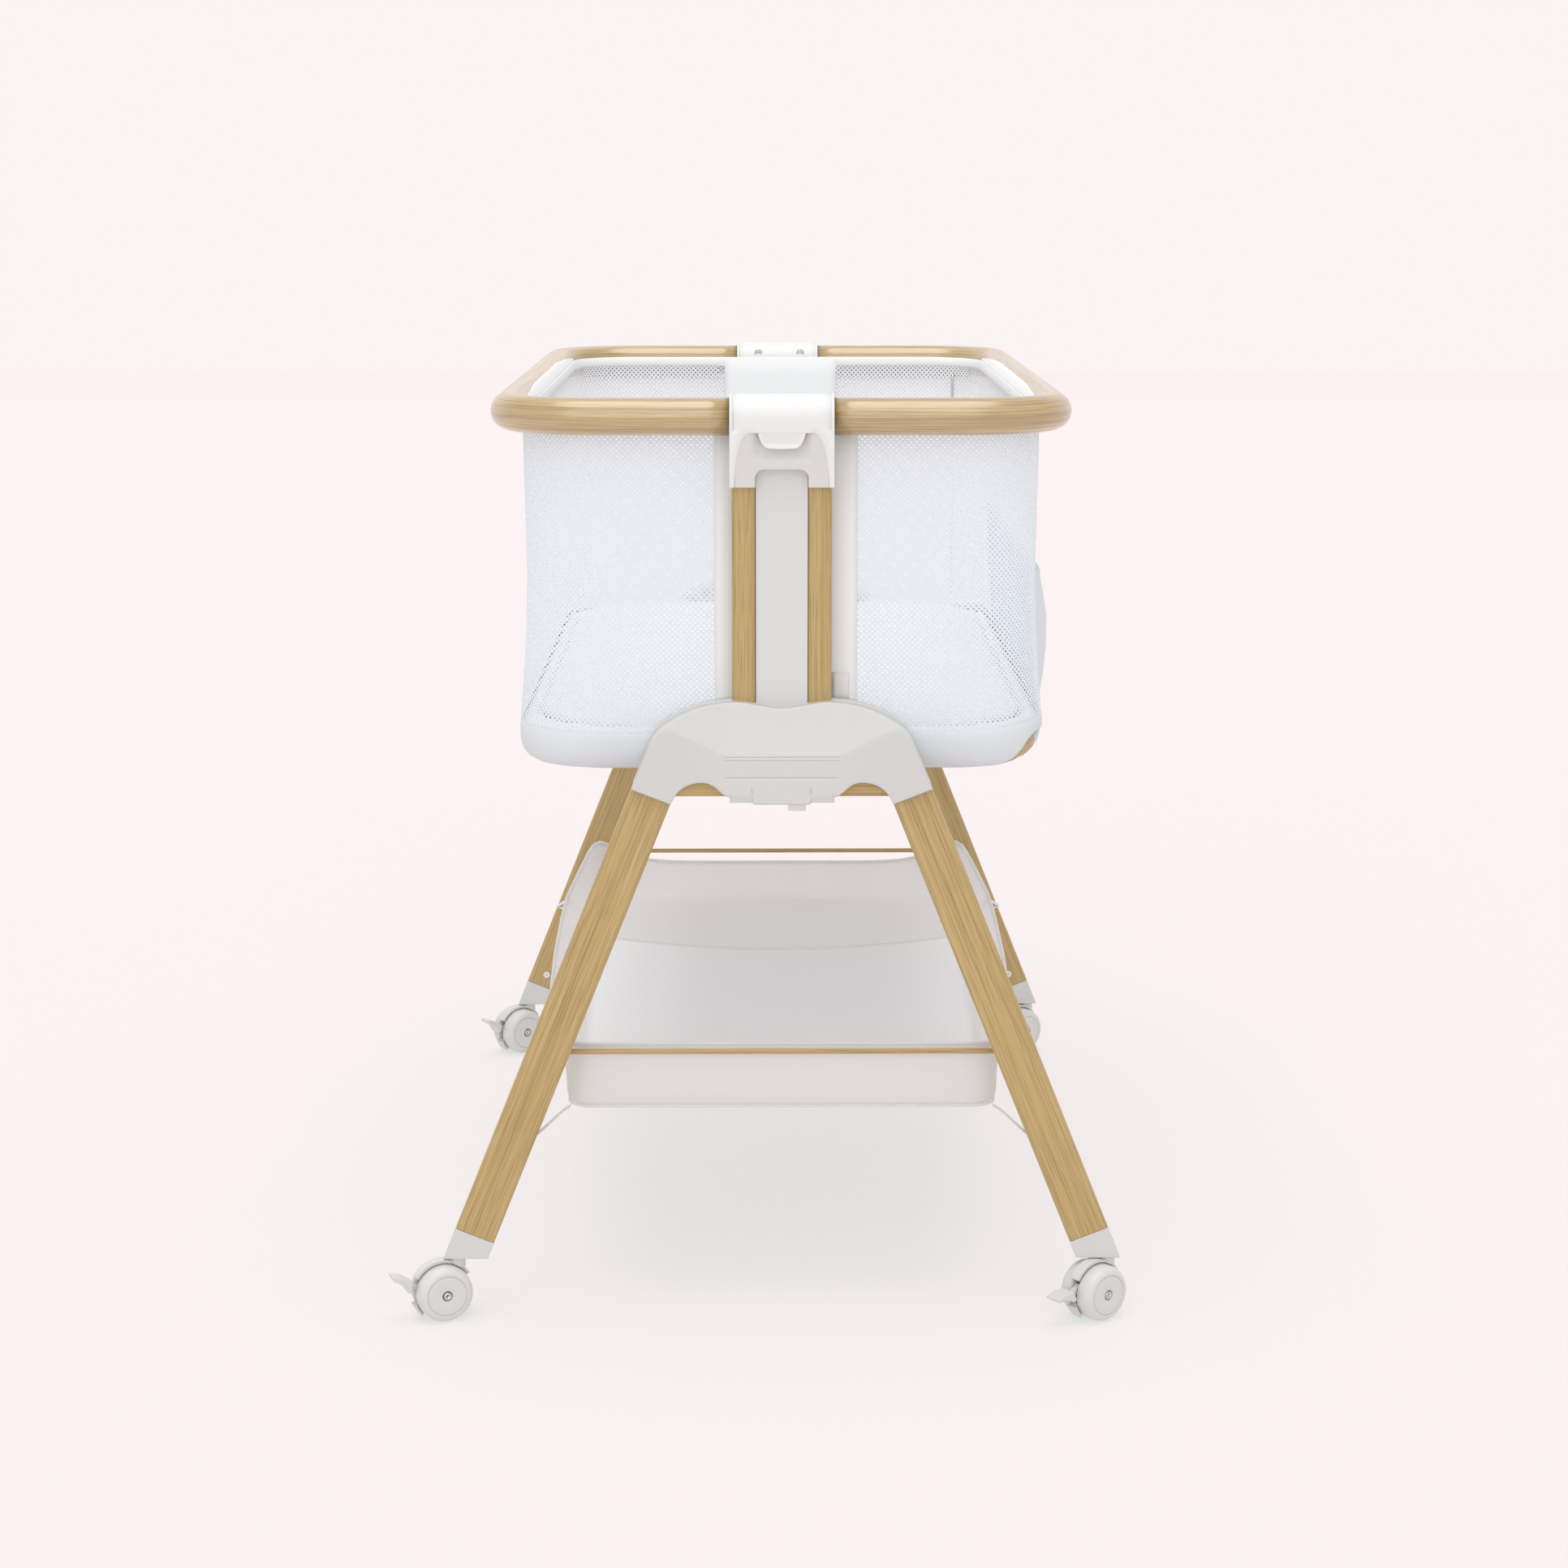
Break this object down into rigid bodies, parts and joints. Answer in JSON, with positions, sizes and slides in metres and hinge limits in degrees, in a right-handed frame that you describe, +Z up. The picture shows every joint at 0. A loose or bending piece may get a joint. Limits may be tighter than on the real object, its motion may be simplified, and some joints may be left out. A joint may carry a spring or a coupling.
{
  "type": "bassinet on stand",
  "caption": "Bassinet with mesh sides and a rounded wooden rail, carried at each end on twin posts by an A-frame stand with braked swivel casters and a fabric basket below",
  "frame": {"origin": "on the floor, under the middle of the part's box", "axes": "X across the bassinet (right when seen from the front end), Y along it from the front end to the rear end, Z up"},
  "size_m": [0.7043, 1.0008, 0.8785],
  "materials": {
    "beech": "clear satin lacquer",
    "rail_wood": "clear satin lacquer",
    "white_plastic": "fine satin",
    "grey_plastic": "fine satin",
    "caster_plastic": "smooth",
    "steel": "brushed",
    "painted_rod": "wood-coloured powder coat",
    "mesh_fabric": "breathable mesh",
    "plain_fabric": "plain woven",
    "quilt": "quilted cotton",
    "hardboard": "raw hardboard"
  },
  "bodies": {
    "stand": {"leg_front_left": "beech", "foot_socket_front_left": "white_plastic", "leg_front_right": "beech", "foot_socket_front_right": "white_plastic", "crossbar_front": "beech", "hub_outer_front": "white_plastic", "hub_inner_front": "white_plastic", "latch_cover_front": "white_plastic", "basket_rod_front": "painted_rod", "leg_rear_left": "beech", "foot_socket_rear_left": "white_plastic", "leg_rear_right": "beech", "foot_socket_rear_right": "white_plastic", "crossbar_rear": "beech", "hub_outer_rear": "white_plastic", "hub_inner_rear": "white_plastic", "latch_cover_rear": "white_plastic", "basket_rod_rear": "painted_rod", "basket": "plain_fabric"},
    "bassinet": {"rail_left": "rail_wood", "rail_right": "rail_wood", "base_tube": "rail_wood", "base_board": "hardboard", "fabric_body": "mesh_fabric", "side_pocket": "plain_fabric", "cap_front": "white_plastic", "bridge_front": "grey_plastic", "centre_panel_front": "white_plastic", "post_front_left": "beech", "post_front_right": "beech", "cap_rear": "white_plastic", "bridge_rear": "grey_plastic", "centre_panel_rear": "white_plastic", "post_rear_left": "beech", "post_rear_right": "beech"},
    "mattress": {"mattress": "quilt"},
    "release_lever_front": {"release_lever_front": "white_plastic"},
    "lock_tab_front": {"lock_tab_front": "grey_plastic"},
    "release_lever_rear": {"release_lever_rear": "white_plastic"},
    "lock_tab_rear": {"lock_tab_rear": "grey_plastic"},
    "caster_front_left": {"caster_housing_front_left": "caster_plastic"},
    "wheels_front_left": {"wheel_outer_front_left": "caster_plastic", "wheel_inner_front_left": "caster_plastic", "axle_front_left": "steel"},
    "pedal_front_left": {"brake_pedal_front_left": "caster_plastic"},
    "caster_front_right": {"caster_housing_front_right": "caster_plastic"},
    "wheels_front_right": {"wheel_outer_front_right": "caster_plastic", "wheel_inner_front_right": "caster_plastic", "axle_front_right": "steel"},
    "pedal_front_right": {"brake_pedal_front_right": "caster_plastic"},
    "caster_rear_left": {"caster_housing_rear_left": "caster_plastic"},
    "wheels_rear_left": {"wheel_outer_rear_left": "caster_plastic", "wheel_inner_rear_left": "caster_plastic", "axle_rear_left": "steel"},
    "pedal_rear_left": {"brake_pedal_rear_left": "caster_plastic"},
    "caster_rear_right": {"caster_housing_rear_right": "caster_plastic"},
    "wheels_rear_right": {"wheel_outer_rear_right": "caster_plastic", "wheel_inner_rear_right": "caster_plastic", "axle_rear_right": "steel"},
    "pedal_rear_right": {"brake_pedal_rear_right": "caster_plastic"}
  },
  "joints": [
    {"name": "height_slide", "type": "slide", "parent": "stand", "child": "bassinet", "axis": [0, 0, 1], "range_m": [-0.15, 0]},
    {"name": "mattress_lift", "type": "slide", "parent": "bassinet", "child": "mattress", "axis": [0, 0, 1], "range_m": [0, 0.35]},
    {"name": "release_lever_front_pull", "type": "slide", "parent": "bassinet", "child": "release_lever_front", "axis": [0, 0, 1], "range_m": [0, 0.008], "stiffness_N_per_m": 300, "springref_m": -0.002},
    {"name": "lock_tab_front_press", "type": "slide", "parent": "stand", "child": "lock_tab_front", "axis": [0, 0, 1], "range_m": [0, 0.004], "stiffness_N_per_m": 300, "springref_m": -0.001},
    {"name": "release_lever_rear_pull", "type": "slide", "parent": "bassinet", "child": "release_lever_rear", "axis": [0, 0, 1], "range_m": [0, 0.008], "stiffness_N_per_m": 300, "springref_m": -0.002},
    {"name": "lock_tab_rear_press", "type": "slide", "parent": "stand", "child": "lock_tab_rear", "axis": [0, 0, 1], "range_m": [0, 0.004], "stiffness_N_per_m": 300, "springref_m": -0.001},
    {"name": "caster_front_left_swivel", "type": "hinge", "parent": "stand", "child": "caster_front_left", "pos_m": [-0.2897, -0.45166, 0.055], "axis": [0, 0, 1], "continuous": true},
    {"name": "wheels_front_left_roll", "type": "hinge", "parent": "caster_front_left", "child": "wheels_front_left", "pos_m": [-0.30453, -0.45766, 0.027], "axis": [0.3746, -0.9272, 0], "continuous": true},
    {"name": "pedal_front_left_press", "type": "hinge", "parent": "caster_front_left", "child": "pedal_front_left", "pos_m": [-0.32493, -0.4659, 0.031], "axis": [0.3746, -0.9272, 0], "range_deg": [0, 33]},
    {"name": "caster_front_right_swivel", "type": "hinge", "parent": "stand", "child": "caster_front_right", "pos_m": [0.3323, -0.45166, 0.055], "axis": [0, 0, 1], "continuous": true},
    {"name": "wheels_front_right_roll", "type": "hinge", "parent": "caster_front_right", "child": "wheels_front_right", "pos_m": [0.3197, -0.46151, 0.027], "axis": [0.6157, -0.788, 0], "continuous": true},
    {"name": "pedal_front_right_press", "type": "hinge", "parent": "caster_front_right", "child": "pedal_front_right", "pos_m": [0.30236, -0.47506, 0.031], "axis": [0.6157, -0.788, 0], "range_deg": [-33, 0]},
    {"name": "caster_rear_left_swivel", "type": "hinge", "parent": "stand", "child": "caster_rear_left", "pos_m": [-0.2897, 0.47834, 0.055], "axis": [0, 0, 1], "continuous": true},
    {"name": "wheels_rear_left_roll", "type": "hinge", "parent": "caster_rear_left", "child": "wheels_rear_left", "pos_m": [-0.3023, 0.46849, 0.027], "axis": [0.6157, -0.788, 0], "continuous": true},
    {"name": "pedal_rear_left_press", "type": "hinge", "parent": "caster_rear_left", "child": "pedal_rear_left", "pos_m": [-0.31964, 0.45494, 0.031], "axis": [0.6157, -0.788, 0], "range_deg": [0, 33]},
    {"name": "caster_rear_right_swivel", "type": "hinge", "parent": "stand", "child": "caster_rear_right", "pos_m": [0.3323, 0.47834, 0.055], "axis": [0, 0, 1], "continuous": true},
    {"name": "wheels_rear_right_roll", "type": "hinge", "parent": "caster_rear_right", "child": "wheels_rear_right", "pos_m": [0.3197, 0.46849, 0.027], "axis": [0.6157, -0.788, 0], "continuous": true},
    {"name": "pedal_rear_right_press", "type": "hinge", "parent": "caster_rear_right", "child": "pedal_rear_right", "pos_m": [0.30236, 0.45494, 0.031], "axis": [0.6157, -0.788, 0], "range_deg": [0, 33]}
  ]
}
